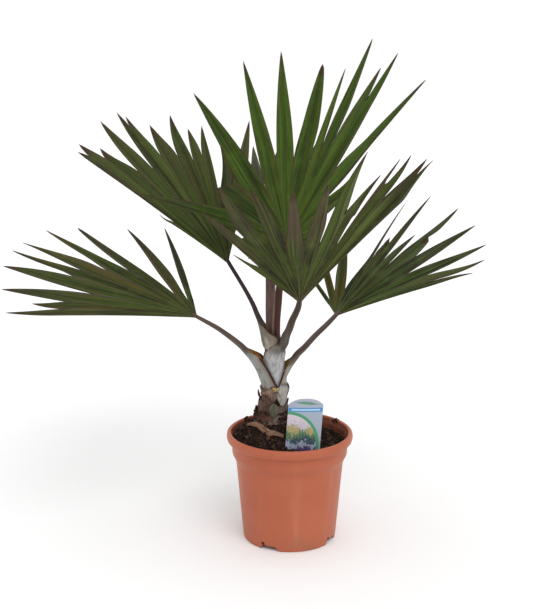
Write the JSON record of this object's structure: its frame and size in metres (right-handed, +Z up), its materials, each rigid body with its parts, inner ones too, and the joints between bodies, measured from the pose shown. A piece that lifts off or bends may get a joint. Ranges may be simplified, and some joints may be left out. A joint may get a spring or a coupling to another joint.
{
  "type": "potted red latan palm",
  "caption": "Young red latan palm with fan leaves on reddish stalks, in a round terracotta-coloured plastic nursery pot with a care label.",
  "frame": {"origin": "centre of the pot's underside, on the flat pad that it stands on", "axes": "+Z up along the pot's axis, -Y towards the viewer of the plant's front, +X to the viewer's right"},
  "size_m": [0.7216, 0.7405, 0.742],
  "materials": {
    "pot_plastic": "satin moulded plastic",
    "compost": "coarse moist peat",
    "stem_fibre": "fibrous leaf bases",
    "old_leaf_base": "weathered leaf stub",
    "dry_husk": "dry husk",
    "stalk_skin": "waxy leaf stalk",
    "leaf_green": "leathery pleated leaf",
    "label_plastic": "printed card"
  },
  "bodies": {
    "root": {"pot": "pot_plastic", "soil": "compost", "trunk": "stem_fibre", "old_leaf_base": "old_leaf_base", "dry_husk": "dry_husk", "care_label": "label_plastic", "spear_leaf": "leaf_green", "stalk_left": "stalk_skin", "frond_left": "leaf_green", "stalk_upper_left": "stalk_skin", "frond_upper_left": "leaf_green", "stalk_top": "stalk_skin", "frond_top": "leaf_green", "stalk_front": "stalk_skin", "frond_front": "leaf_green", "stalk_right": "stalk_skin", "frond_right": "leaf_green", "stalk_back": "stalk_skin", "frond_back": "leaf_green"}
  },
  "joints": []
}
